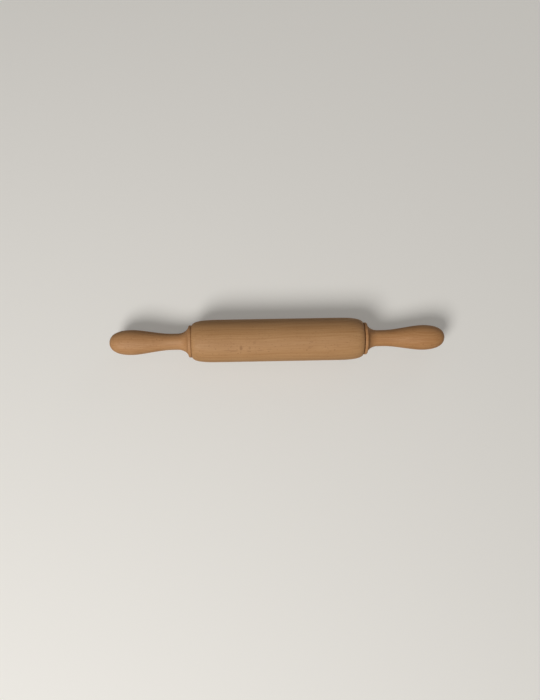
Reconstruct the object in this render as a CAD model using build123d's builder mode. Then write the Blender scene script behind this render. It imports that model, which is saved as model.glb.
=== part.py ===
from build123d import *
from math import sqrt
import os

# A wooden rolling pin with two turned handles. The barrel runs on a ball bearing
# at each end, and a steel rod through it carries the handles.
# Millimetres. The origin is the middle of the rod, +X runs along it to the right
# handle and +Z is up.

# Barrel, turned from one billet of beech
barrel_length = 201.8
barrel_diameter = 50.0
barrel_face_diameter = 35.2
shoulder_length = 30.0
shoulder_shares = (0.605, 0.804)
barrel_bore_diameter = 10.0

# Handles, turned from beech, measured from the flat face of the collar
handle_gap = 0.4
handle_length = 96.0
collar_diameter = 37.8
collar_width = 3.6
collar_front_radius = 0.4
collar_back_radius = 1.5
cove_length = 12.7
cove_shares = (0.21, 0.70)
neck_diameter = 19.1
neck_length = 7.3
swell_length = 46.8
swell_shares = (0.30, 0.28)
grip_diameter = 29.3
dome_shares = (0.41, 0.84)

# How far the barrel can slide along the rod. It lies slid to the left as far as it goes.
end_float = 0.5

# Steel rod, and how far it goes into each handle
rod_diameter = 8.0
rod_in_handle = 45.0
rod_end_chamfer = 1.0
rod_hole_clearance = 0.2
rod_hole_spare_depth = 2.0

# Ball bearings, in the size that skates and small rollers use
bearing_diameter = 22.0
bearing_width = 7.0
bearing_recess = 0.5
ring_edge_chamfer = 0.3
ring_slip_fit = 0.01
ball_diameter = 3.969
ball_count = 7
ball_clearance = 0.06
race_shoulder_share = 0.36
seat_lead_in = 0.4

# Pressed steel shields that close each bearing
shield_thickness = 0.3
shield_recess = 0.3
shield_lip = 0.6
shield_gap = 0.2

# Moulded cage that keeps the balls apart
cage_side_gap = 0.4
cage_shield_gap = 0.3
cage_claw_height = 0.9
cage_pocket_clearance = 0.1
claw_gap_width = 1.0
claw_gap_depth = 1.5

# Spring clips on the rod, one behind each bearing
clip_groove_diameter = 7.6
clip_groove_width = 0.9
clip_thickness = 0.8
clip_band_width = 1.5
clip_mouth = 1.8
clip_lug_radius = 1.35
clip_lug_reach = 5.2
clip_hole_diameter = 1.2
clip_relief_diameter = 17.0
clip_relief_room = 1.7

# Brass threaded inserts in the handles
insert_diameter = 12.0
insert_length = 14.0
insert_edge_chamfer = 0.6
insert_slot_width = 2.0
insert_slot_depth = 2.2
thread_fit = 0.05

# Places along the rod, from its middle, with the barrel midway in its float
barrel_end = barrel_length / 2
shoulder_start = barrel_end - shoulder_length
collar_face = barrel_end + handle_gap
collar_back = collar_face + collar_width
back_edge_start = collar_back - collar_back_radius
cove_end = collar_back + cove_length
neck_end = cove_end + neck_length
grip_middle = neck_end + swell_length
handle_end = collar_face + handle_length
rod_end = collar_face + rod_in_handle
bearing_front = barrel_end - bearing_recess
bearing_back = bearing_front - bearing_width
bearing_middle = (bearing_front + bearing_back) / 2
half_float = end_float / 2
clip_face = bearing_back - half_float
washer_back = bearing_front + half_float

# Radii that follow from the sizes above
barrel_radius = barrel_diameter / 2
barrel_face_radius = barrel_face_diameter / 2
collar_radius = collar_diameter / 2
cove_top = collar_radius - collar_back_radius
neck_radius = neck_diameter / 2
grip_radius = grip_diameter / 2
rod_radius = rod_diameter / 2
bearing_radius = bearing_diameter / 2
ring_bore_radius = rod_radius + ring_slip_fit
ball_radius = ball_diameter / 2
pitch_radius = (rod_radius + bearing_radius) / 2
race_radius = ball_radius + ball_clearance
inner_shoulder_radius = pitch_radius - race_shoulder_share * ball_diameter
outer_shoulder_radius = pitch_radius + race_shoulder_share * ball_diameter
shield_radius = outer_shoulder_radius + shield_lip
shield_seat_depth = shield_recess + shield_thickness
clip_groove_radius = clip_groove_diameter / 2
clip_relief_depth = end_float + clip_thickness + clip_relief_room
insert_radius = insert_diameter / 2


def cut_bore(radius, face, depth):
    """Cut a round hole about the rod's axis, going down from a face towards the middle."""
    with BuildSketch(Plane.YZ.offset(face)) as hole:
        Circle(radius)
    extrude(hole.sketch, amount=depth, mode=Mode.SUBTRACT)


def ring(inner_radius, outer_radius, face, thickness):
    """Add a flat ring about the rod's axis, standing out from a face."""
    with BuildSketch(Plane.YZ.offset(face)) as flat:
        Circle(outer_radius)
        Circle(inner_radius, mode=Mode.SUBTRACT)
    extrude(flat.sketch, amount=thickness)


def at_left_end(piece):
    """Return the left end's copy of a piece of the right end."""
    with BuildPart() as copy:
        mirror(piece.part, about=Plane.YZ)
    return copy


def slid_left(piece):
    """Return a piece of the barrel or its bearings where it lies, at the left end of the float."""
    with BuildPart() as copy:
        with Locations((-half_float, 0, 0)):
            add(piece.part)
    return copy


# Barrel: a straight cylinder with soft shoulders, a bearing seat in each end, room
# behind each seat for the spring clip, and a bore right through for the rod
with BuildPart() as barrel:
    with BuildSketch(Plane.XY):
        with BuildLine():
            shoulder = Bezier(
                (shoulder_start, barrel_radius),
                (shoulder_start + shoulder_shares[0] * shoulder_length, barrel_radius),
                (barrel_end, barrel_face_radius + shoulder_shares[1] * (barrel_radius - barrel_face_radius)),
                (barrel_end, barrel_face_radius),
            )
            Line(shoulder @ 1, (barrel_end, 0))
            mirror(about=Plane.YZ)
            Line((-shoulder_start, barrel_radius), (shoulder_start, barrel_radius))
            Line((-barrel_end, 0), (barrel_end, 0))
        make_face()
    revolve(axis=Axis.X)
    cut_bore(barrel_bore_diameter / 2, -barrel_end, barrel_length)
    for side in (-1, 1):
        cut_bore(bearing_radius, side * barrel_end, -side * (barrel_end - bearing_back))
        cut_bore(clip_relief_diameter / 2, side * bearing_back, -side * clip_relief_depth)
    mouths = [barrel.edges().group_by(Axis.X)[end].sort_by(SortBy.RADIUS)[0] for end in (0, -1)]
    chamfer(mouths, length=seat_lead_in)

# Handle: a collar that faces the barrel, a hollow curve down to the neck, a long
# swell to the grip and a domed end. The insert sits in its face, and a hole
# beyond it takes the end of the rod.
with BuildPart() as right_handle:
    with BuildSketch(Plane.XY):
        with BuildLine():
            Polyline((collar_face, 0), (collar_face, collar_radius), (back_edge_start, collar_radius))
            CenterArc((back_edge_start, cove_top), collar_back_radius, 0, 90)
            Bezier(
                (collar_back, cove_top),
                (collar_back, cove_top - cove_shares[0] * (cove_top - neck_radius)),
                (cove_end - cove_shares[1] * cove_length, neck_radius),
                (cove_end, neck_radius),
            )
            Line((cove_end, neck_radius), (neck_end, neck_radius))
            Bezier(
                (neck_end, neck_radius),
                (neck_end + swell_shares[0] * swell_length, neck_radius),
                (grip_middle - swell_shares[1] * swell_length, grip_radius),
                (grip_middle, grip_radius),
            )
            Bezier(
                (grip_middle, grip_radius),
                (grip_middle + dome_shares[0] * (handle_end - grip_middle), grip_radius),
                (handle_end, dome_shares[1] * grip_radius),
                (handle_end, 0),
            )
            Line((handle_end, 0), (collar_face, 0))
        make_face()
    revolve(axis=Axis.X)
    collar_edges = right_handle.edges().filter_by(GeomType.CIRCLE).group_by(SortBy.RADIUS)[-1]
    fillet(collar_edges.sort_by(Axis.X)[0], radius=collar_front_radius)
    cut_bore(insert_radius, collar_face, insert_length)
    cut_bore(rod_radius + rod_hole_clearance, collar_face, rod_in_handle + rod_hole_spare_depth)

# Rod: bright steel bar with a groove behind each bearing for the spring clip
with BuildPart() as axle_rod:
    with BuildSketch(Plane.YZ):
        Circle(rod_radius)
    extrude(amount=rod_end, both=True)
    end_edges = axle_rod.edges().group_by(Axis.X)
    chamfer(end_edges[0] + end_edges[-1], length=rod_end_chamfer)
    for side in (-1, 1):
        with BuildSketch(Plane.YZ.offset(side * clip_face)):
            Circle(rod_radius)
            Circle(clip_groove_radius, mode=Mode.SUBTRACT)
        extrude(amount=-side * clip_groove_width, mode=Mode.SUBTRACT)

# Outer ring of the bearing: a round track for the balls, and a step at each side
# that holds a shield
with BuildPart() as right_bearing_outer_ring:
    with BuildSketch(Plane.XY) as outer_ring_profile:
        with Locations((bearing_middle, (outer_shoulder_radius + bearing_radius) / 2)):
            Rectangle(bearing_width, bearing_radius - outer_shoulder_radius)
        chamfer(outer_ring_profile.vertices().group_by(Axis.Y)[-1], length=ring_edge_chamfer)
        for face, depth in ((bearing_front, -shield_seat_depth), (bearing_back, shield_seat_depth)):
            with Locations((face + depth / 2, outer_shoulder_radius + shield_lip / 2)):
                Rectangle(shield_seat_depth, shield_lip, mode=Mode.SUBTRACT)
        with Locations((bearing_middle, pitch_radius)):
            Circle(race_radius, mode=Mode.SUBTRACT)
    revolve(axis=Axis.X)

# Inner ring of the bearing: slips over the rod, with the inner track for the balls
with BuildPart() as right_bearing_inner_ring:
    with BuildSketch(Plane.XY) as inner_ring_profile:
        with Locations((bearing_middle, (ring_bore_radius + inner_shoulder_radius) / 2)):
            Rectangle(bearing_width, inner_shoulder_radius - ring_bore_radius)
        chamfer(inner_ring_profile.vertices().group_by(Axis.Y)[0], length=ring_edge_chamfer)
        with Locations((bearing_middle, pitch_radius)):
            Circle(race_radius, mode=Mode.SUBTRACT)
    revolve(axis=Axis.X)

# Balls: one ring of hardened steel balls between the two tracks
with BuildPart(Plane.YZ.offset(bearing_middle)) as right_bearing_balls:
    with PolarLocations(pitch_radius, ball_count):
        Sphere(ball_radius)

# Cage: a crown that snaps over the balls from the barrel's side, with a pocket for
# each ball and a gap between the claws of neighbouring pockets
cage_back = bearing_back + shield_seat_depth + cage_shield_gap
cage_front = bearing_middle + cage_claw_height
cage_inner_radius = inner_shoulder_radius + cage_side_gap
cage_outer_radius = outer_shoulder_radius - cage_side_gap
with BuildPart(Plane.YZ.offset(bearing_middle)) as right_bearing_cage:
    ring(cage_inner_radius, cage_outer_radius, cage_back, cage_front - cage_back)
    with BuildSketch(Plane.YZ.offset(cage_front)):
        with PolarLocations(pitch_radius, ball_count, start_angle=180 / ball_count):
            Rectangle(bearing_radius - rod_radius, claw_gap_width)
    extrude(amount=-claw_gap_depth, mode=Mode.SUBTRACT)
    with PolarLocations(pitch_radius, ball_count):
        Sphere(ball_radius + cage_pocket_clearance, mode=Mode.SUBTRACT)

# Shields: thin pressed rings held in the outer ring, clear of the inner one
shield_bore_radius = inner_shoulder_radius + shield_gap
with BuildPart() as right_bearing_outer_shield:
    ring(shield_bore_radius, shield_radius, bearing_front - shield_recess, -shield_thickness)

with BuildPart() as right_bearing_inner_shield:
    ring(shield_bore_radius, shield_radius, bearing_back + shield_recess, shield_thickness)

# Spring clip: a split ring with two drilled lugs, sprung into the rod's groove. It
# stops the inner ring, at the end of the float.
clip_lug_across = clip_mouth / 2 + clip_lug_radius
clip_lug_down = sqrt(clip_lug_reach**2 - clip_lug_across**2)
clip_outer_radius = clip_groove_radius + clip_band_width
with BuildPart() as right_spring_clip:
    with BuildSketch(Plane.YZ.offset(clip_face)):
        Circle(clip_outer_radius)
        with Locations((-clip_lug_across, -clip_lug_down), (clip_lug_across, -clip_lug_down)):
            Circle(clip_lug_radius)
            Circle(clip_hole_diameter / 2, mode=Mode.SUBTRACT)
        Circle(clip_groove_radius, mode=Mode.SUBTRACT)
        with Locations((0, -clip_outer_radius)):
            Rectangle(clip_mouth, clip_outer_radius, mode=Mode.SUBTRACT)
    extrude(amount=-clip_thickness)

# Thrust washer: lies on the insert and stops the inner ring, at the other end of the
# float, so that the barrel never rubs on the handle
with BuildPart() as right_thrust_washer:
    ring(rod_radius + rod_hole_clearance, inner_shoulder_radius, washer_back, collar_face - washer_back)

# Insert: a brass bush screwed into the handle by the slot across its face, with the
# thread for the rod inside it
with BuildPart() as right_handle_insert:
    ring(rod_radius + thread_fit, insert_radius, collar_face, insert_length)
    rims = right_handle_insert.edges().group_by(Axis.X)[-1].sort_by(SortBy.RADIUS)[-1]
    chamfer(rims, length=insert_edge_chamfer)
    with BuildSketch(Plane.YZ.offset(collar_face)):
        Rectangle(insert_diameter, insert_slot_width)
    extrude(amount=insert_slot_depth, mode=Mode.SUBTRACT)

pieces = {"barrel": slid_left(barrel), "axle_rod": axle_rod}
pieces_on_rod = {
    "handle": right_handle,
    "handle_insert": right_handle_insert,
    "thrust_washer": right_thrust_washer,
    "spring_clip": right_spring_clip,
}
pieces_in_barrel = {
    "bearing_outer_ring": right_bearing_outer_ring,
    "bearing_inner_ring": right_bearing_inner_ring,
    "bearing_balls": right_bearing_balls,
    "bearing_cage": right_bearing_cage,
    "bearing_outer_shield": right_bearing_outer_shield,
    "bearing_inner_shield": right_bearing_inner_shield,
}
for name, piece in pieces_on_rod.items():
    pieces[f"right_{name}"] = piece
    pieces[f"left_{name}"] = at_left_end(piece)
for name, piece in pieces_in_barrel.items():
    pieces[f"right_{name}"] = slid_left(piece)
    pieces[f"left_{name}"] = slid_left(at_left_end(piece))

os.makedirs("parts", exist_ok=True)
for name, piece in pieces.items():
    piece.part.label = name
    export_step(piece.part, f"parts/{name}.step")
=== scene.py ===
import math

import bpy
from mathutils import Matrix, Vector


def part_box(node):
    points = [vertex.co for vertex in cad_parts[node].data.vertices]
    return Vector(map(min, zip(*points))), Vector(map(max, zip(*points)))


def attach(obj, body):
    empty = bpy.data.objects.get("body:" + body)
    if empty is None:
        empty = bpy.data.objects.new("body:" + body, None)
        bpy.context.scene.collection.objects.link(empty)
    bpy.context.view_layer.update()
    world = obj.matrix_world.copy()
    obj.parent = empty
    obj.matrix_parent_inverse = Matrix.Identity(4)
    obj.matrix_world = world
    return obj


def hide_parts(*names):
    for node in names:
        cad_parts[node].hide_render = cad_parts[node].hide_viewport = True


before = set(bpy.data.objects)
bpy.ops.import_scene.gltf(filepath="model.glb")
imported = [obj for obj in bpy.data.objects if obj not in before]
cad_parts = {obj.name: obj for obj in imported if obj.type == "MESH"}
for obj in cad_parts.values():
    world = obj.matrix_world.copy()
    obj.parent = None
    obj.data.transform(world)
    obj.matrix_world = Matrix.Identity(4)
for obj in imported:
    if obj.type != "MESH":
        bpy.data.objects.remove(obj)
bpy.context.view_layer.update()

# A turned beech rolling pin. Its barrel runs on a ball bearing at each end, about a
# steel rod that carries the two handles.
MM = 0.001


# Barrel. One billet of beech, turned to a straight cylinder with softly rounded
# shoulders, sanded on the lathe and oiled. Each end is bored for a bearing, and a
# smaller hole goes right through for the rod.
barrel_low, barrel_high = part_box("barrel")
barrel_middle = (barrel_low.x + barrel_high.x) / 2
barrel_end = barrel_high.x - barrel_middle
barrel_radius = barrel_high.z
barrel_face_radius = 17.6 * MM
shoulder_length = 30.0 * MM
shoulder_shares = (0.605, 0.804)
bearing_low, bearing_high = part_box("right_bearing_outer_ring")
seat_radius = bearing_high.z
seat_floor = bearing_low.x - barrel_middle
seat_lead_in = 0.4 * MM
clip_room_radius = 8.5 * MM
clip_room_depth = 3.0 * MM
rod_bore_radius = 5.0 * MM
barrel_segments = 160
least_step = 0.001 * MM
merge_distance = 0.002 * MM
crease_angle = math.radians(40)


def bend(start, start_pull, end_pull, end, steps):
    """Return the points of a smooth curve, drawn out of its ends by two pulls."""
    points = []
    for i in range(steps + 1):
        t = i / steps
        u = 1 - t
        weights = (u**3, 3 * u * u * t, 3 * u * t * t, t**3)
        ends = (start, start_pull, end_pull, end)
        points.append(tuple(sum(w * p[k] for w, p in zip(weights, ends)) for k in (0, 1)))
    return points


def along(start, end, steps):
    """Return evenly spaced points on a straight stretch."""
    return [
        tuple(start[k] + (end[k] - start[k]) * i / steps for k in (0, 1))
        for i in range(steps + 1)
    ]


def turn(name, outline, segments):
    """Draw an outline of (distance along the rod, radius) and spin it about the rod.

    It starts as a small plane merged to one point, which is drawn out along the outline.
    """
    bpy.ops.object.select_all(action="DESELECT")
    bpy.ops.mesh.primitive_plane_add(size=MM)
    piece = bpy.context.object
    piece.name = name
    bpy.ops.object.mode_set(mode="EDIT")
    bpy.ops.mesh.merge(type="CENTER")
    here = Vector((0, 0, 0))
    for step, (x, radius) in enumerate(outline):
        there = Vector((x, 0, radius))
        if step == 0:
            bpy.ops.transform.translate(value=there)
        elif (there - here).length > least_step:
            bpy.ops.mesh.extrude_region_move(TRANSFORM_OT_translate={"value": there - here})
        else:
            continue
        here = there
    bpy.ops.mesh.select_all(action="SELECT")
    bpy.ops.mesh.spin(steps=segments, angle=math.tau, center=(0, 0, 0), axis=(1, 0, 0))
    bpy.ops.mesh.select_all(action="SELECT")
    bpy.ops.mesh.remove_doubles(threshold=merge_distance)
    bpy.ops.mesh.normals_make_consistent(inside=False)
    bpy.ops.object.mode_set(mode="OBJECT")
    bpy.ops.object.shade_smooth_by_angle(angle=crease_angle)
    return piece


shoulder_start = barrel_end - shoulder_length
shoulder_drop = barrel_radius - barrel_face_radius
shoulder = bend(
    (shoulder_start, barrel_radius),
    (shoulder_start + shoulder_shares[0] * shoulder_length, barrel_radius),
    (barrel_end, barrel_face_radius + shoulder_shares[1] * shoulder_drop),
    (barrel_end, barrel_face_radius),
    steps=28,
)
seat = [
    (barrel_end, seat_radius + seat_lead_in),
    (barrel_end - seat_lead_in, seat_radius),
    (seat_floor, seat_radius),
    (seat_floor, clip_room_radius),
    (seat_floor - clip_room_depth, clip_room_radius),
    (seat_floor - clip_room_depth, rod_bore_radius),
]
right_half = shoulder + along(shoulder[-1], seat[0], steps=6)[1:] + seat[1:]
left_half = [(-x, radius) for x, radius in reversed(right_half)]
working_face = along(
    (-shoulder_start, barrel_radius), (shoulder_start, barrel_radius), steps=60,
)
barrel_outline = left_half + working_face[1:-1] + right_half + left_half[:1]
barrel_outline = [(barrel_middle + x, radius) for x, radius in barrel_outline]
barrel = turn("turned_barrel", barrel_outline, barrel_segments)


def linear(colour):
    """Turn an sRGB hex colour into the linear values that a shader takes."""
    values = []
    for first in (0, 2, 4):
        share = int(colour[first : first + 2], 16) / 255
        values.append(share / 12.92 if share <= 0.04045 else ((share + 0.055) / 1.055) ** 2.4)
    return (*values, 1.0)


def add(tree, kind, inputs=None, **settings):
    """Add a node with its settings, and fill its inputs with values or other nodes' outputs."""
    node = tree.nodes.new("ShaderNode" + kind)
    for key, value in settings.items():
        setattr(node, key, value)
    for key, value in (inputs or {}).items():
        if isinstance(value, bpy.types.NodeSocket):
            tree.links.new(value, node.inputs[key])
        else:
            node.inputs[key].default_value = value
    return node


def stops(node, *pairs):
    """Give a colour ramp its stops, each a place and a colour."""
    ramp = node.color_ramp
    while len(ramp.elements) < len(pairs):
        ramp.elements.new(1.0)
    for element, (place, colour) in zip(ramp.elements, pairs):
        element.position = place
        element.color = linear(colour)
    return node


# Beech: a pale pinkish-brown, close wood. It has faint growth rings about two
# millimetres apart, straight fibres along the pin, and short dark spindles along the
# grain where rays come to the surface. Sanded and oiled, it has a dull satin gloss.
sway_length = 71.4 * MM
sway_width = 5 * MM
ring_width = 2.1 * MM
uneven_years = 6.25 * MM
streak_size = (143 * MM, 2.38 * MM, 2.38 * MM)
fibre_size = (16.7 * MM, 0.263 * MM, 0.263 * MM)
cloud_size = 38.5 * MM
ray_length = 3.6 * MM
ray_width = 0.44 * MM
ray_depth = 3.2 * MM
fleck_length = 12 * MM
fleck_width = 2.6 * MM
fleck_depth = 9 * MM
fibre_stretch = 2.4
fibre_shift = -0.2
sanding_line = 0.35 * MM

# How dark each pattern makes the wood, from the palest tone up
palest_tone = -0.265
streak_tone = 1.0
ring_tone = 0.42
cloud_tone = 0.35
# End grain, and painted shade at the joint between barrel and handle
end_grain_and_joint_shade_tone = 0.4
fibre_tone = 0.3
ray_tone = 0.6

# The satin gloss from streak to streak, and how much the fibres and the sanding lines
# count beside the rays in the relief
smooth_streak = 0.60
rough_streak = 0.74
fibre_relief = 0.5
sanding_relief = 0.3
relief_depth = 0.03 * MM

# Places along the rod are shares of the whole pin's half length
handle_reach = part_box("right_handle")[1].x


def beech(name, pith_turn, pith_distance, slope, light, dark, streak, ends, marks=()):
    """Oiled beech as a solid pattern about its own pith, which lies to one side of the piece.

    ends says how much darker the wood is at each distance along the rod: where the grain
    runs out of the surface, and as painted shade beside the joint between barrel and handle.
    marks are the dark flecks that catch the eye, each at its own place.
    """
    material = bpy.data.materials.new(name)
    material.use_nodes = True
    tree = material.node_tree
    tree.nodes.clear()
    place = add(tree, "TexCoord").outputs["Object"]

    # The stem: it grew with a slight sway, which every pattern in it follows
    stem = add(
        tree, "Mapping",
        {"Vector": place, "Location": (0, 0, pith_distance), "Rotation": (pith_turn, slope, 0)},
        vector_type="POINT",
    ).outputs["Vector"]
    swell = add(
        tree, "TexNoise",
        {"Vector": stem, "Scale": 1 / sway_length, "Detail": 2.0, "Roughness": 0.45},
    )
    sway = add(
        tree, "VectorMath", {0: swell.outputs["Color"], 1: (0.5, 0.5, 0.5)},
        operation="SUBTRACT",
    )
    warp = add(
        tree, "VectorMath", {0: sway.outputs[0], 1: (0, sway_width, sway_width)},
        operation="MULTIPLY",
    )
    warped = add(
        tree, "VectorMath", {0: stem, 1: warp.outputs[0]},
        operation="ADD",
    ).outputs[0]
    across = add(tree, "VectorMath", {0: warped, 1: (0, 1, 1)}, operation="MULTIPLY")
    from_pith = add(
        tree, "VectorMath", {0: across.outputs[0]},
        operation="LENGTH",
    ).outputs["Value"]

    # Growth rings: each year fades from pale to a thin darker line
    uneven = add(
        tree, "TexNoise", {"W": from_pith, "Scale": 1 / uneven_years, "Detail": 1.0},
        noise_dimensions="1D",
    )
    years = add(
        tree, "Math", {0: from_pith, 1: 1 / ring_width, 2: uneven.outputs[0]},
        operation="MULTIPLY_ADD",
    )
    year = add(tree, "Math", {0: years.outputs[0]}, operation="FRACT")
    rings = stops(
        add(tree, "ValToRGB", {"Fac": year.outputs[0]}),
        (0.0, "000000"), (0.55, "3A3A3A"), (0.86, "9A9A9A"), (0.95, "D8D8D8"), (1.0, "101010"),
    )

    # Fibres: long soft streaks that show from a step away, and hair-fine ones for a close look
    broad = add(tree, "Mapping", {"Vector": warped, "Scale": [1 / size for size in streak_size]})
    streaks = add(
        tree, "TexNoise",
        {"Vector": broad.outputs[0], "Scale": 1.0, "Detail": 3.0, "Roughness": 0.6},
    )
    fine = add(tree, "Mapping", {"Vector": warped, "Scale": [1 / size for size in fibre_size]})
    fibres = add(
        tree, "TexNoise",
        {"Vector": fine.outputs[0], "Scale": 1.0, "Detail": 2.0, "Roughness": 0.7},
    )
    clouds = add(
        tree, "TexNoise",
        {"Vector": warped, "Scale": 1 / cloud_size, "Detail": 2.0, "Roughness": 0.5},
    )

    # Rays: thin sheets that stand out from the pith, so they are spindles on one side
    # of the pin and small ribbons on the other
    parts = add(tree, "SeparateXYZ", {"Vector": warped})
    angle = add(
        tree, "Math", {0: parts.outputs["Y"], 1: parts.outputs["Z"]},
        operation="ARCTAN2",
    )
    round_way = add(
        tree, "Math", {0: angle.outputs[0], 1: pith_distance / ray_width},
        operation="MULTIPLY",
    )
    long_way = add(tree, "Math", {0: parts.outputs["X"], 1: 1 / ray_length}, operation="MULTIPLY")
    out_way = add(tree, "Math", {0: from_pith, 1: 1 / ray_depth}, operation="MULTIPLY")
    sheets = add(
        tree, "CombineXYZ",
        {"X": long_way.outputs[0], "Y": round_way.outputs[0], "Z": out_way.outputs[0]},
    )
    large_sheets = add(
        tree, "VectorMath",
        {
            0: sheets.outputs[0],
            1: (ray_length / fleck_length, ray_width / fleck_width, ray_depth / fleck_depth),
        },
        operation="MULTIPLY",
    )

    # One ray at most to a cell of each size: many fine ones and a few larger flecks. The
    # first pair of numbers says how few of the cells hold one, and the second how far its
    # dark core and its rim reach
    rays = 0.0
    for cells_of, rarest, commonest, core, rim in (
        (sheets, 0.35, 0.95, 0.16, 0.34),
        (large_sheets, 0.80, 1.25, 0.06, 0.30),
    ):
        cells = add(
            tree, "TexVoronoi",
            {"Vector": cells_of.outputs[0], "Scale": 1.0, "Randomness": 1.0},
        )
        chance = add(tree, "SeparateColor", {"Color": cells.outputs["Color"]})
        some = add(
            tree, "MapRange",
            {"Value": chance.outputs["Red"], "From Min": rarest, "From Max": commonest},
        )
        spindle = add(
            tree, "MapRange",
            {
                "Value": cells.outputs["Distance"],
                "From Min": core,
                "From Max": rim,
                "To Min": 1.0,
                "To Max": 0.0,
            },
            interpolation_type="SMOOTHSTEP",
        )
        drawn = add(
            tree, "Math", {0: spindle.outputs[0], 1: some.outputs[0]},
            operation="MULTIPLY",
        )
        rays = add(tree, "Math", {0: rays, 1: drawn.outputs[0]}, operation="MAXIMUM").outputs[0]

    # The flecks that catch the eye, each a spindle that dies away inside the wood. The
    # fibres show in it, so their middle greys are stretched to the whole range first
    grainy = add(
        tree, "Math", {0: fibres.outputs[0], 1: fibre_stretch, 2: fibre_shift},
        operation="MULTIPLY_ADD",
    )
    for along_barrel, round_barrel, length, width, strength in marks:
        round_by = math.radians(round_barrel)
        top = Vector((along_barrel * MM, 0, barrel_radius))
        near = add(
            tree, "Mapping",
            {
                "Vector": place,
                "Location": Matrix.Rotation(round_by, 3, "X") @ top,
                "Rotation": (round_by, 0, 0),
                "Scale": (length * MM, width * MM, 2 * width * MM),
            },
            vector_type="TEXTURE",
        )
        fade = add(tree, "TexGradient", {"Vector": near.outputs[0]}, gradient_type="SPHERICAL")
        torn = add(
            tree, "Math", {0: fade.outputs["Fac"], 1: grainy.outputs[0]},
            operation="MULTIPLY",
        )
        spot = add(
            tree, "MapRange",
            {"Value": torn.outputs[0], "From Min": 0.08, "From Max": 0.62, "To Max": strength},
            interpolation_type="SMOOTHSTEP",
        )
        rays = add(tree, "Math", {0: rays, 1: spot.outputs[0]}, operation="MAXIMUM").outputs[0]

    # End grain: where the surface cuts across the fibres it drinks more oil and is darker.
    # Beside the joint between barrel and handle the darkening is painted shade as well
    straight = add(tree, "SeparateXYZ", {"Vector": place})
    from_middle = add(tree, "Math", {0: straight.outputs["X"]}, operation="ABSOLUTE")
    reached = add(tree, "Math", {0: from_middle.outputs[0], 1: handle_reach}, operation="DIVIDE")
    end_grain_and_joint_shade = stops(add(tree, "ValToRGB", {"Fac": reached.outputs[0]}), *ends)

    # Colour, from the pale ground up
    tone = palest_tone
    for pattern, weight in (
        (streaks, streak_tone), (rings, ring_tone), (clouds, cloud_tone),
        (end_grain_and_joint_shade, end_grain_and_joint_shade_tone),
    ):
        tone = add(
            tree, "Math", {0: pattern.outputs[0], 1: weight, 2: tone},
            operation="MULTIPLY_ADD",
        ).outputs[0]
    fibre_dark = add(
        tree, "MapRange",
        {"Value": fibres.outputs[0], "From Min": 0.5, "From Max": 0.8, "To Max": fibre_tone},
    )
    ray_dark = add(tree, "Math", {0: rays, 1: ray_tone}, operation="MULTIPLY")
    colour = linear(light)
    for share, shade in (
        (tone, dark), (fibre_dark.outputs[0], streak), (ray_dark.outputs[0], streak),
    ):
        colour = add(
            tree, "Mix", {"Factor": share, "A": colour, "B": linear(shade)},
            data_type="RGBA",
        ).outputs["Result"]

    # Relief: the fibres and rays stand a few hundredths of a millimetre below the surface,
    # and the sanding on the lathe leaves a trace of fine lines round it
    rough = add(
        tree, "MapRange",
        {"Value": streaks.outputs[0], "To Min": smooth_streak, "To Max": rough_streak},
    )
    lines = add(
        tree, "TexNoise",
        {"W": straight.outputs["X"], "Scale": 1 / sanding_line, "Detail": 1.0},
        noise_dimensions="1D",
    )
    height = rays
    for pattern, weight in ((fibres, fibre_relief), (lines, sanding_relief)):
        height = add(
            tree, "Math", {0: pattern.outputs[0], 1: weight, 2: height},
            operation="MULTIPLY_ADD",
        ).outputs[0]
    relief = add(
        tree, "Bump", {"Height": height, "Strength": 0.35, "Distance": relief_depth},
        invert=True,
    )
    skin = add(
        tree, "BsdfPrincipled",
        {
            "Base Color": colour,
            "Roughness": rough.outputs[0],
            "IOR": 1.5,
            "Normal": relief.outputs[0],
        },
    )
    add(tree, "OutputMaterial", {"Surface": skin.outputs[0]})
    return material


# The barrel's grain runs out a little on the shoulders and fully on its end faces, which
# are darker for it. The darkest band, at the barrel's end beside the handle, is also painted
# shade for the joint
barrel_end_grain_and_joint_shade = ((0.0, "000000"), (0.45, "000000"), (0.50, "404040"), (0.512, "909090"))

# Each fleck: millimetres from the barrel's middle, degrees round from the top towards
# the near side, half its length and width in millimetres, and how dark it is. The last
# four are on the sides that the photograph doesn't show
barrel_marks = (
    (-43.3, 35, 2.5, 4.4, 0.95),
    (-51.5, 43, 6.5, 1.4, 0.55),
    (-27.8, 21, 2.8, 2.4, 0.45),
    (-33.5, 36, 2.2, 3.2, 0.45),
    (-34.5, 45, 3.4, 1.5, 0.6),
    (-59.0, 41, 7.0, 1.3, 0.5),
    (-21.0, 43, 5.5, 1.4, 0.4),
    (-11.0, 40, 5.0, 1.3, 0.35),
    (37.5, 21, 3.6, 1.5, 0.4),
    (30.0, 152, 5.0, 1.8, 0.7),
    (-38.0, 205, 6.2, 1.5, 0.6),
    (8.0, 262, 4.4, 1.6, 0.6),
    (58.0, 310, 6.0, 1.4, 0.5),
)
barrel_beech = beech(
    "beech_turned_sanded_oiled_barrel",
    pith_turn=math.radians(62), pith_distance=88 * MM, slope=math.radians(0.6),
    light="C79968", dark="A67645", streak="8A5D34", ends=barrel_end_grain_and_joint_shade, marks=barrel_marks,
)
barrel.data.materials.append(barrel_beech)
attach(barrel, "rolling_barrel")
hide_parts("barrel")


# Rod. Bright drawn 8 mm steel bar, chamfered at both ends, with a groove turned behind
# each bearing for a spring clip. It goes right through the barrel and carries the handles.
stain_size = 4 * MM
metal_palest_tone = -0.05
stain_tone = 0.6
mark_tone = 0.5


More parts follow.
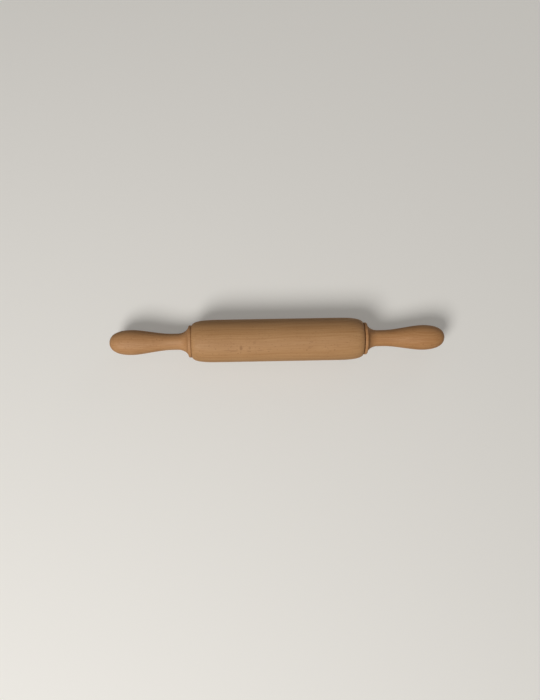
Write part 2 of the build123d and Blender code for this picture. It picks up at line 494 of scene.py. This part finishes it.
def worked_metal(name, spacing, light, dark, smooth, rough, cut, round_rod=False):
    """Bare metal with the fine marks of its making.

    spacing says how many millimetres apart the marks lie each way, and cut how many deep
    they are. On a turned or ground piece they run round the rod, and there the first two
    of spacing are along the rod and out from it.
    """
    material = bpy.data.materials.new(name)
    material.use_nodes = True
    tree = material.node_tree
    tree.nodes.clear()
    place = add(tree, "TexCoord").outputs["Object"]
    where = place
    if round_rod:
        apart = add(tree, "SeparateXYZ", {"Vector": place})
        outward = add(tree, "VectorMath", {0: place, 1: (0, 1, 1)}, operation="MULTIPLY")
        radius = add(tree, "VectorMath", {0: outward.outputs[0]}, operation="LENGTH")
        where = add(
            tree, "CombineXYZ", {"X": apart.outputs["X"], "Y": radius.outputs["Value"]},
        ).outputs[0]
    spread = add(
        tree, "Mapping", {"Vector": where, "Scale": [1 / (step * MM) for step in spacing]},
    )
    marks = add(
        tree, "TexNoise",
        {"Vector": spread.outputs[0], "Scale": 1.0, "Detail": 2.0, "Roughness": 0.6},
    )
    stain = add(
        tree, "TexNoise",
        {"Vector": place, "Scale": 1 / stain_size, "Detail": 3.0, "Roughness": 0.55},
    )
    tone = metal_palest_tone
    for pattern, weight in ((stain, stain_tone), (marks, mark_tone)):
        tone = add(
            tree, "Math", {0: pattern.outputs[0], 1: weight, 2: tone},
            operation="MULTIPLY_ADD",
        ).outputs[0]
    colour = add(
        tree, "Mix", {"Factor": tone, "A": linear(light), "B": linear(dark)},
        data_type="RGBA",
    )
    gloss = add(
        tree, "MapRange",
        {"Value": tone, "From Min": 0.2, "From Max": 0.8, "To Min": smooth, "To Max": rough},
    )
    relief = add(
        tree, "Bump", {"Height": marks.outputs[0], "Strength": 0.4, "Distance": cut * MM},
    )
    skin = add(
        tree, "BsdfPrincipled",
        {
            "Base Color": colour.outputs["Result"],
            "Metallic": 1.0,
            "Roughness": gloss.outputs[0],
            "Normal": relief.outputs[0],
        },
    )
    add(tree, "OutputMaterial", {"Surface": skin.outputs[0]})
    return material


def dress(material, *names):
    """Give a material to pieces whose shape stays as it is."""
    for name in names:
        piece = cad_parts[name]
        if not piece.material_slots:
            piece.data.materials.append(material)
        for slot in piece.material_slots:
            slot.material = material


# Bright drawn steel: pale grey, with faint die lines along the bar. They are drawn a
# tenth of a millimetre apart, coarser than the real ones, so that they show
drawn_steel = worked_metal(
    "bright_drawn_steel_bar", spacing=(9.0, 0.10, 0.10),
    light="D2D3D4", dark="B4B6B8", smooth=0.24, rough=0.34, cut=0.004,
)
dress(drawn_steel, "axle_rod")


# Spring clips. Split rings stamped from spring steel, with two drilled lugs for the
# pliers. They snap into the rod's grooves, inside the bearings, and stop the inner rings.

# Blackened steel: hot oil leaves it a deep, uneven grey-black with a dull sheen
blackened_steel = worked_metal(
    "oil_blackened_spring_steel", spacing=(0.5, 0.5, 0.5),
    light="4B4A4B", dark="262628", smooth=0.42, rough=0.60, cut=0.006,
)
dress(blackened_steel, "right_spring_clip", "left_spring_clip")


# Bearings. At each end of the barrel seven hardened steel balls run between a ground outer
# ring, pressed into the barrel's seat, and a ground inner ring on the rod. A nylon crown
# keeps the balls apart, and two pressed steel shields close the gap and hold the grease.

# Ground steel: bright, with very fine lines round the ring, drawn coarser than they are
ground_steel = worked_metal(
    "ground_bearing_steel", spacing=(0.08, 0.08, 1.0), round_rod=True,
    light="D6D7D9", dark="BDBFC2", smooth=0.16, rough=0.26, cut=0.002,
)

# Polished steel: a dark mirror, with only the faintest clouding
polished_steel = worked_metal(
    "polished_chrome_steel_balls", spacing=(1.2, 1.2, 1.2),
    light="E0E1E3", dark="D2D4D7", smooth=0.05, rough=0.10, cut=0.0005,
)

# Pressed steel: thin bright sheet, with the lines of the rolling mill straight across it
pressed_steel = worked_metal(
    "pressed_bright_steel_sheet", spacing=(0.5, 4.0, 0.14),
    light="CCCDCF", dark="AEB0B3", smooth=0.28, rough=0.42, cut=0.004,
)

# Moulded nylon: left in its own waxy cream, a little cloudy, with the mould's fine bloom
cage_light = "E6DEC8"
cage_dark = "D6CBB0"
cage_cloud = 3 * MM
cage_bloom = 0.15 * MM
cage_bloom_depth = 0.008 * MM
nylon = bpy.data.materials.new("moulded_natural_nylon")
nylon.use_nodes = True
tree = nylon.node_tree
tree.nodes.clear()
place = add(tree, "TexCoord").outputs["Object"]
cloud = add(
    tree, "TexNoise",
    {"Vector": place, "Scale": 1 / cage_cloud, "Detail": 2.0, "Roughness": 0.5},
)
bloom = add(
    tree, "TexNoise",
    {"Vector": place, "Scale": 1 / cage_bloom, "Detail": 2.0, "Roughness": 0.6},
)
cream = add(
    tree, "Mix",
    {"Factor": cloud.outputs[0], "A": linear(cage_light), "B": linear(cage_dark)},
    data_type="RGBA",
)
waxy = add(tree, "MapRange", {"Value": cloud.outputs[0], "To Min": 0.40, "To Max": 0.54})
pits = add(
    tree, "Bump", {"Height": bloom.outputs[0], "Strength": 0.3, "Distance": cage_bloom_depth},
)
skin = add(
    tree, "BsdfPrincipled",
    {
        "Base Color": cream.outputs["Result"],
        "Roughness": waxy.outputs[0],
        "IOR": 1.53,
        "Normal": pits.outputs[0],
    },
)
add(tree, "OutputMaterial", {"Surface": skin.outputs[0]})
for side in ("right", "left"):
    dress(ground_steel, f"{side}_bearing_outer_ring", f"{side}_bearing_inner_ring")
    dress(polished_steel, f"{side}_bearing_balls")
    dress(nylon, f"{side}_bearing_cage")
    dress(pressed_steel, f"{side}_bearing_outer_shield", f"{side}_bearing_inner_shield")


# Thrust washers. Small steel washers between the inner ring and the brass insert. They
# set the fine gap between barrel and handle, and stop both from rubbing.

# Zinc plate: pale and faintly blue, with soft mottling
zinc_plate = worked_metal(
    "zinc_plated_steel_washer", spacing=(0.7, 0.7, 0.7),
    light="CBD0D4", dark="A9AFB3", smooth=0.30, rough=0.46, cut=0.006,
)
dress(zinc_plate, "right_thrust_washer", "left_thrust_washer")


# Handle inserts. Slotted bushes turned from brass bar and screwed into the handles' faces,
# with the thread for the rod inside them.

# Turned brass: warm yellow, with the tool's fine lines round it, drawn a seventh of a
# millimetre apart so that they show
turned_brass = worked_metal(
    "turned_brass_bar", spacing=(0.14, 0.14, 1.0), round_rod=True,
    light="DDBB72", dark="C29A50", smooth=0.24, rough=0.38, cut=0.006,
)
dress(turned_brass, "right_handle_insert", "left_handle_insert")


# Handles. Each is turned from its own piece of beech: a collar that faces the barrel,
# rounded at its back, a hollow cove, a slim neck, a long swell for the palm and a domed
# end. The collar's face is bored for a brass insert, with a narrower hole for the rod.
handle_low, handle_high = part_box("right_handle")
collar_face = handle_low.x
handle_end = handle_high.x
collar_radius = handle_high.z
collar_width = 3.6 * MM
collar_front_edge = 0.4 * MM
collar_back_edge = 1.5 * MM
cove_length = 12.7 * MM
cove_shares = (0.21, 0.70)
neck_radius = 9.55 * MM
neck_length = 7.3 * MM
swell_length = 46.8 * MM
swell_shares = (0.30, 0.28)
grip_radius = 14.65 * MM
dome_shares = (0.41, 0.84)
insert_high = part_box("right_handle_insert")[1]
insert_radius = insert_high.z
insert_end = insert_high.x
rod_hole_radius = 4.2 * MM
room_past_rod = 2.0 * MM
rod_hole_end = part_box("axle_rod")[1].x + room_past_rod
handle_segments = 128

collar_back = collar_face + collar_width
cove_end = collar_back + cove_length
neck_end = cove_end + neck_length
grip_middle = neck_end + swell_length
dome_length = handle_end - grip_middle


def rounded(x, radius, edge, from_angle, to_angle, steps):
    """Return the points of a quarter round on a collar's edge, about its own centre."""
    points = []
    for i in range(steps + 1):
        angle = math.radians(from_angle + (to_angle - from_angle) * i / steps)
        points.append((x + edge * math.cos(angle), radius + edge * math.sin(angle)))
    return points


dome = bend(
    (handle_end, 0),
    (handle_end, dome_shares[1] * grip_radius),
    (grip_middle + dome_shares[0] * dome_length, grip_radius),
    (grip_middle, grip_radius),
    steps=36,
)
swell = bend(
    (grip_middle, grip_radius),
    (grip_middle - swell_shares[1] * swell_length, grip_radius),
    (neck_end + swell_shares[0] * swell_length, neck_radius),
    (neck_end, neck_radius),
    steps=48,
)
cove_top = collar_radius - collar_back_edge
cove = bend(
    (cove_end, neck_radius),
    (cove_end - cove_shares[1] * cove_length, neck_radius),
    (collar_back, cove_top - cove_shares[0] * (cove_top - neck_radius)),
    (collar_back, cove_top),
    steps=28,
)
neck = along(swell[-1], cove[0], steps=5)
back_edge = rounded(
    collar_back - collar_back_edge, cove_top, collar_back_edge,
    from_angle=0, to_angle=90, steps=10,
)
front_edge_radius = collar_radius - collar_front_edge
front_edge = rounded(
    collar_face + collar_front_edge, front_edge_radius, collar_front_edge,
    from_angle=90, to_angle=180, steps=5,
)
face = along((collar_face, front_edge_radius), (collar_face, insert_radius), steps=8)
inside = [
    (insert_end, insert_radius),
    (insert_end, rod_hole_radius),
    (rod_hole_end, rod_hole_radius),
    (rod_hole_end, 0),
]
handle_outline = (
    dome + swell[1:] + neck[1:] + cove[1:] + back_edge[1:] + front_edge + face[1:] + inside
)

# Each handle is its own piece of the tree, so its pith, slope and colour differ a little
handle_woods = {
    "right": {
        "name": "beech_turned_right_handle",
        "pith_turn": math.radians(205), "pith_distance": 61 * MM, "slope": math.radians(1.1),
        "light": "C89663", "dark": "A9723F", "streak": "8A582E",
    },
    "left": {
        "name": "beech_turned_left_handle",
        "pith_turn": math.radians(100), "pith_distance": 74 * MM, "slope": math.radians(-1.1),
        "light": "C89868", "dark": "A87443", "streak": "8A5A31",
    },
}

# The handle's grain runs out on the collar's face, in the cove and on the domed end, which
# are darker for it. The darkest band, on the collar's face and the edge of its rim beside the
# barrel, is also painted shade for the joint
handle_end_grain_and_joint_shade = (
    (0.5136, "FFFFFF"), (0.515, "000000"), (0.531, "000000"), (0.534, "B0B0B0"),
    (0.553, "404040"), (0.60, "000000"), (0.94, "000000"), (0.985, "202020"), (1.0, "707070"),
)
for side, sign in (("right", 1), ("left", -1)):
    side_outline = [(sign * x, radius) for x, radius in handle_outline]
    handle = turn(f"turned_{side}_handle", side_outline, handle_segments)
    handle.data.materials.append(beech(ends=handle_end_grain_and_joint_shade, **handle_woods[side]))
    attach(handle, "rod_and_handles")
    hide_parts(f"{side}_handle")


# Studio. A plain pale floor that the barrel lies on, one broad soft lamp to the near
# left of the camera, a weak one at the far right and a dim even sky. The floor looks
# pale but throws little light back, so that the round of the wood stays shaded.
floor_size = 6.0
seen_floor = "DAD7D1"
bounced_floor = "4A4845"
floor_glow = 0.28
sky_colour = "F4F2EE"
dim_sky = 0.12
seen_sky = 0.62


def seen_directly(tree):
    """Return 1 for what the camera sees, straight or mirrored, and 0 for all other light."""
    path = add(tree, "LightPath").outputs
    mirrored = add(
        tree, "Math", {0: path["Is Glossy Ray"], 1: path["Is Transmission Ray"]},
        operation="ADD",
    )
    seen = add(
        tree, "Math", {0: path["Is Camera Ray"], 1: mirrored.outputs[0]},
        operation="ADD", use_clamp=True,
    )
    return seen.outputs[0]


bpy.ops.object.select_all(action="DESELECT")
bpy.ops.mesh.primitive_plane_add(size=floor_size, location=(0, 0, barrel_low.z))
floor = bpy.context.object
floor.name = "floor"
paint = bpy.data.materials.new("matt_pale_floor_paint")
paint.use_nodes = True
tree = paint.node_tree
tree.nodes.clear()
seen = seen_directly(tree)
shade = add(
    tree, "Mix", {"Factor": seen, "A": linear(bounced_floor), "B": linear(seen_floor)},
    data_type="RGBA",
)
glow = add(tree, "Math", {0: seen, 1: floor_glow}, operation="MULTIPLY")
coat = add(
    tree, "BsdfPrincipled",
    {
        "Base Color": shade.outputs["Result"],
        "Roughness": 0.9,
        "Emission Color": linear(seen_floor),
        "Emission Strength": glow.outputs[0],
    },
)
add(tree, "OutputMaterial", {"Surface": coat.outputs[0]})
floor.data.materials.append(paint)

sky = bpy.data.worlds.new("studio")
bpy.context.scene.world = sky
sky.use_nodes = True
tree = sky.node_tree
tree.nodes.clear()
brightness = add(
    tree, "MapRange", {"Value": seen_directly(tree), "To Min": dim_sky, "To Max": seen_sky},
)
air = add(tree, "Background", {"Color": linear(sky_colour), "Strength": brightness.outputs[0]})
add(tree, "OutputWorld", {"Surface": air.outputs[0]})

# Each lamp is a round one that points at the pin: its place and width in metres, and its
# power in watts
for name, place, width, power in (
    ("key_lamp", (-0.79, -1.36, 1.54), 0.95, 37.0),
    ("fill_lamp", (0.8, 1.1, 0.4), 1.0, 1.3),
):
    lamp = bpy.data.lights.new(name, "AREA")
    lamp.shape = "DISK"
    lamp.size = width
    lamp.energy = power
    holder = bpy.data.objects.new(name, lamp)
    bpy.context.scene.collection.objects.link(holder)
    holder.location = place
    holder.rotation_euler = (-Vector(place)).to_track_quat("-Z", "Y").to_euler()


# Camera. Above the pin and a little in front of it, turned and rolled by the small
# angles at which the photograph shows the pin. Its lens is as long as its sensor is high.
elevation = math.radians(76)
turn_away = math.radians(1.55)
roll = math.radians(1.04)
camera_distance = 825.8 * MM
pin_right_of_centre = 9.32 * MM
pin_above_centre = 11.88 * MM
lens = 36.0

tilt = Matrix(
    (
        (1, 0, 0),
        (0, math.sin(elevation), -math.cos(elevation)),
        (0, math.cos(elevation), math.sin(elevation)),
    )
)
aim = tilt @ Matrix.Rotation(-turn_away, 3, "Y") @ Matrix.Rotation(-roll, 3, "Z")
pin_from_camera = Vector((pin_right_of_centre, pin_above_centre, -camera_distance))
camera_data = bpy.data.cameras.new("camera")
camera_data.lens = lens
camera_data.sensor_width = lens
camera = bpy.data.objects.new("camera", camera_data)
bpy.context.scene.collection.objects.link(camera)
camera.matrix_world = Matrix.Translation(-(aim @ pin_from_camera)) @ aim.to_4x4()
bpy.context.scene.camera = camera
bpy.context.scene.view_settings.view_transform = "Standard"
